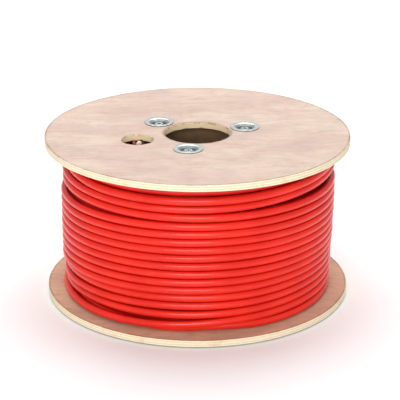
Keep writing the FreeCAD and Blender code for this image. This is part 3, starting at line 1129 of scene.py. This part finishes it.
def plywood_material(name, low, thickness, face_tone, marks):
    """Plywood whose lower face is at height low. Its faces' colours are multiplied by a tone that can
    darken and redden them as painted shade, and the marks are how strong its patches are, from 0 to 1."""
    material, shader, place = new_material(name)

    def tint(red, green, blue):
        return tuple(a * b for a, b in zip(paint(red, green, blue), (*face_tone, 1.0)))

    height = place.axis("Z")
    warp = place.noise(place, 9, 3, 0.55)
    across = place.axis("Y") + warp * 0.05
    flow = place.node("ShaderNodeCombineXYZ", (), {0: place.axis("X") * 0.3, 1: across, 2: height})
    figure = place.noise(flow, 34, 6, 0.68, 0.5)
    streaks = place.noise(place.stretched(flow, (90, 900, 40)), 1.0, 4, 0.65)
    pores = place.noise(place.stretched(flow, (260, 3000, 190)), 1.0, 2, 0.5)
    cloud = place.noise(place, 11, 4, 0.6)
    mottle = place.noise(place, 52, 5, 0.7)
    grey = place.noise(place.stretched(place, (24, 34, 30), (3, 1, 0)), 1.0, 4, 0.65)
    veneer = figure.between(0.36, 0.68).blend(tint(212, 193, 177), tint(197, 172, 157))
    markings = (
        (cloud.between(0.44, 0.64), marks, tint(205, 176, 165)),
        (grey.between(0.46, 0.7), marks, tint(188, 170, 160)),
        (mottle.between(0.46, 0.7), marks * 0.7, tint(188, 158, 144)),
        (streaks.between(0.46, 0.74), marks * 0.7, tint(170, 141, 126)),
        (pores.between(0.6, 0.74), marks * 0.5, tint(144, 114, 98)),
    )
    veneer = layered(veneer, markings)

    level = (height - low) / thickness * PLY_COUNT
    in_ply = level.math("FRACT", level)
    cross_ply = level.math("FLOOR", level) % 2.0
    glue = 1 - abs(in_ply - 0.5).between(0.5, 0.42)
    fibres = place.noise(place.stretched(place, (420, 420, 1500)), 1.0, 3, 0.6)
    ends = place.noise(place.stretched(place, (1500, 1500, 900)), 1.0, 3, 0.7)
    outermost = abs(level / PLY_COUNT - 0.5).between(0.44, 0.49)
    inside = (place.axis("X") ** 2.0 + place.axis("Y") ** 2.0) ** 0.5
    arris = inside.between(FLANGE_RADIUS - 2.8 * MM, FLANGE_RADIUS - 0.8 * MM)
    arris = arris + 1 - inside.between(ARBOR_RADIUS + 0.6 * MM, ARBOR_RADIUS + 2.6 * MM)
    frayed = 0.25 + mottle.between(0.36, 0.6) * 0.6
    veneer = (arris * frayed).blend(veneer, tint(150, 122, 100))
    sawn = 1 - inside.between(0.08, 0.1)
    splinters = place.noise(place.stretched(place, (190, 190, 60)), 1.0, 4, 0.65)
    torn = sawn * (level + splinters * 3.0).between(4.6, 5.4)
    edge_markings = (
        (fibres.between(0.45, 0.7), 0.3, paint(232, 204, 162)),
        (ends.between(0.5, 0.7) * cross_ply, 0.4, paint(198, 158, 116)),
        (glue * ends.between(0.3, 0.6), 0.6, paint(160, 124, 90)),
        (mottle.between(0.5, 0.72), 0.5, paint(212, 178, 128)),
        (outermost * fibres.between(0.42, 0.55), 0.7, paint(150, 120, 92)),
        (sawn, 0.6, paint(246, 218, 174)),
        (torn * splinters.between(0.44, 0.56), 0.85, paint(250, 232, 196)),
        (torn * (1 - splinters.between(0.36, 0.48)), 0.6, paint(160, 122, 80)),
    )
    plies = layered(cross_ply.blend(paint(250, 240, 212), paint(240, 222, 186)), edge_markings)
    face = flatness(place).between(0.55, 0.85)
    relief = face * (streaks * 0.6 + pores * 0.4) + (1 - face) * (fibres * 0.8 + ends * 0.4)
    feed(
        shader,
        Base_Color=face.blend(plies, veneer),
        Roughness=0.62 + streaks * 0.14,
        Normal=place.bump(relief, 0.0003, 0.35),
        Specular_IOR_Level=0.35,
    )
    return material


dress(plywood_material("upper_plywood", upper_low[2], PLY, (1.0, 1.0, 1.0), 0.7), upper_disc)
# The lower disc's faces are browner and redder: partly a browner inside veneer, partly painted shade
# and painted red bounce from the cable above them.
dress(plywood_material("lower_plywood", lower_low[2], PLY, (1.05, 0.92, 0.74), 1.0), lower_disc)
print("plywood:", len(bpy.data.materials["upper_plywood"].node_tree.nodes), "nodes for each disc")

# %% [markdown]
# ## Board tube
# The tube between the discs is wound from strips of brown kraft board. Its inside shows the slanted
# seams of the innermost strip and a mottled, matt paper surface. The seams are lines of constant
# angle minus height, which is what a helix is.

# %% Kraft board


def board_material(name):
    """Spirally wound brown board."""
    material, shader, place = new_material(name)
    angle = place.math("ARCTAN2", place.axis("Y"), place.axis("X"))
    strip = angle / math.tau + place.axis("Z") / 0.11
    in_strip = strip.math("FRACT", strip)
    seam = 1 - in_strip.between(0.0, 0.02) * (1 - in_strip.between(0.985, 1.0))
    fibre = place.noise(place.stretched(place, (300, 300, 900)), 1.0, 4, 0.65)
    mottle = place.noise(place, 45, 4, 0.6)
    board = mottle.between(0.3, 0.7).blend(paint(104, 80, 58), paint(124, 98, 72))
    board = (fibre.between(0.5, 0.75) * 0.4).blend(board, paint(86, 64, 45))
    board = (seam * 0.7).blend(board, paint(58, 42, 30))
    # Painted shade: faces that look straight up or down, the tube's cut ends, are painted nearly black
    # where the end shows in the dark start hole.
    board = flatness(place).between(0.6, 0.8).blend(board, paint(52, 38, 28))
    feed(
        shader,
        Base_Color=board,
        Roughness=0.86 + fibre * 0.08,
        Normal=place.bump(fibre * 0.6 - seam * 1.5, 0.0004, 0.5),
        Specular_IOR_Level=0.25,
    )
    return material


dress(board_material("kraft_board"), frame["nodes"]["core_tube"])
print("board tube:", len(bpy.data.materials["kraft_board"].node_tree.nodes), "nodes")

# %% [markdown]
# ## Zinc, staple wire and filler
# Zinc plate on pressed steel is a bluish white metal with fine brushed and handled marks. The
# staple is duller wire. The filler round the cores is a pale, matt textile.

# %% Metal and filler


def metal_material(name, light, dark, roughness, clean):
    """Plated steel: bright metal with cloudy stains and fine scratches, painted darker as shade at
    its upright cut edges and where it lies further than the clean depth under the outermost face."""
    material, shader, place = new_material(name)
    half_height = (cad_box[0][2] + cad_box[1][2]) / 2
    from_middle = place.axis("Z") - half_height
    depth = half_height - abs(from_middle)
    cloud = place.noise(place, 160, 4, 0.6)
    scratch = place.noise(place.stretched(place, (2400, 260, 900)), 1.0, 3, 0.6)
    stained = cloud.between(0.5, 0.75)
    # Painted shade: all that lies deeper than the clean depth under the top or bottom face, in the
    # dishes and under the upper disc, is darkened and made rougher.
    painted_hollow_shade = depth.between(clean, clean + 1.6 * MM) * (0.7 + cloud * 0.3)
    plate = (stained * 0.5).blend(light, dark)
    # Painted shade: upright faces, such as the rims' cut edges and the nuts' flanks, are darkened.
    edge = 1 - flatness(place).between(0.2, 0.5)
    plate = (edge * 0.8).blend(plate, paint(92, 94, 100))
    feed(
        shader,
        Base_Color=painted_hollow_shade.blend(plate, paint(74, 80, 80)),
        Metallic=1.0,
        Roughness=roughness + cloud * 0.14 + scratch * 0.08 + painted_hollow_shade * 0.2,
        Normal=place.bump(scratch * 0.6 + cloud * 0.8, 0.00008, 0.4),
    )
    return material


BRIGHT = paint(212, 220, 217)
CLOUDED = paint(168, 178, 176)
dress(metal_material("zinc_sheet", BRIGHT, CLOUDED, 0.2, 1.5 * MM), *washers)
dress(metal_material("zinc_bolt", BRIGHT, CLOUDED, 0.24, 1.1 * MM), *bolts_and_nuts)
# The staple sits under the upper disc, deeper than 9 mm below the top face, so most of it is painted
# dark as shade.
dress(metal_material("staple_wire", paint(190, 190, 188), paint(140, 138, 132), 0.32, 9 * MM), staple)
print("metals on", len(washers) + len(bolts_and_nuts) + 1, "pieces")


def filler_material(name):
    """Pale textile strands."""
    material, shader, place = new_material(name)
    threads = place.noise(place.stretched(place, (2600, 2600, 500)), 1.0, 4, 0.6)
    feed(
        shader,
        Base_Color=threads.between(0.35, 0.7).blend(paint(206, 178, 148), paint(246, 230, 206)),
        Roughness=0.9,
        Normal=place.bump(threads, 0.0003, 0.6),
    )
    return material


dress(filler_material("core_filler"), start_core)
print("filler on", start_core.name)

# %% [markdown]
# ## Floor and light
# The drum stands on a plain white sweep under large soft lights: an even white room for fill, a
# wide box overhead and one at the front, so that each turn has a soft bright band above and a
# shadow underneath. A weak panel at the back and strips at the sides brighten the outline a little.

# %% Floor
FLOOR_SIZE = 14


def floor_material():
    """White paper with the faintest mottling."""
    material, shader, place = new_material("white_sweep")
    mottle = place.noise(place, 6, 3, 0.5)
    feed(
        shader,
        Base_Color=mottle.blend(paint(238, 238, 238), paint(243, 243, 243)),
        Roughness=0.9,
        Specular_IOR_Level=0.1,
    )
    return material


floor_mesh = bpy.data.meshes.new("floor")
half = FLOOR_SIZE / 2
corners = [(-half, -half, 0), (half, -half, 0), (half, half, 0), (-half, half, 0)]
floor_mesh.from_pydata(corners, [], [(0, 1, 2, 3)])
floor = bpy.data.objects.new("floor", floor_mesh)
bpy.context.collection.objects.link(floor)
dress(floor_material(), floor)
print("floor", FLOOR_SIZE, "m wide")

# %% Light
world = bpy.data.worlds.new("white_room")
world.use_nodes = True
world.node_tree.nodes["Background"].inputs["Color"].default_value = (1, 1, 1, 1)
world.node_tree.nodes["Background"].inputs["Strength"].default_value = 0.42
bpy.context.scene.world = world


def soft_box(name, place, target, width, height, power):
    """A large rectangular light aimed at a point."""
    data = bpy.data.lights.new(name, "AREA")
    data.shape = "RECTANGLE"
    data.size = width
    data.size_y = height
    data.energy = power
    light = bpy.data.objects.new(name, data)
    light.location = place
    light.rotation_euler = (Vector(target) - Vector(place)).to_track_quat("-Z", "Y").to_euler()
    bpy.context.collection.objects.link(light)


soft_box("overhead_box", (0.0, 0.9, 2.2), (0, 0.1, 0), 2.4, 2.2, 57)
soft_box("front_box", (-0.35, -3.2, 1.35), (0, 0, 0.08), 2.0, 1.0, 67)
soft_box("back_panel", (0.0, 3.2, 1.25), (0, 0, 0.16), 3.2, 0.9, 3)
soft_box("left_strip", (-2.6, -1.2, 0.9), (0, 0, 0.08), 0.5, 1.6, 2)
soft_box("right_strip", (2.6, -1.0, 0.9), (0, 0, 0.08), 0.5, 1.6, 2)
bpy.context.scene.view_settings.view_transform = "Standard"
print(len(bpy.data.lights), "lights")
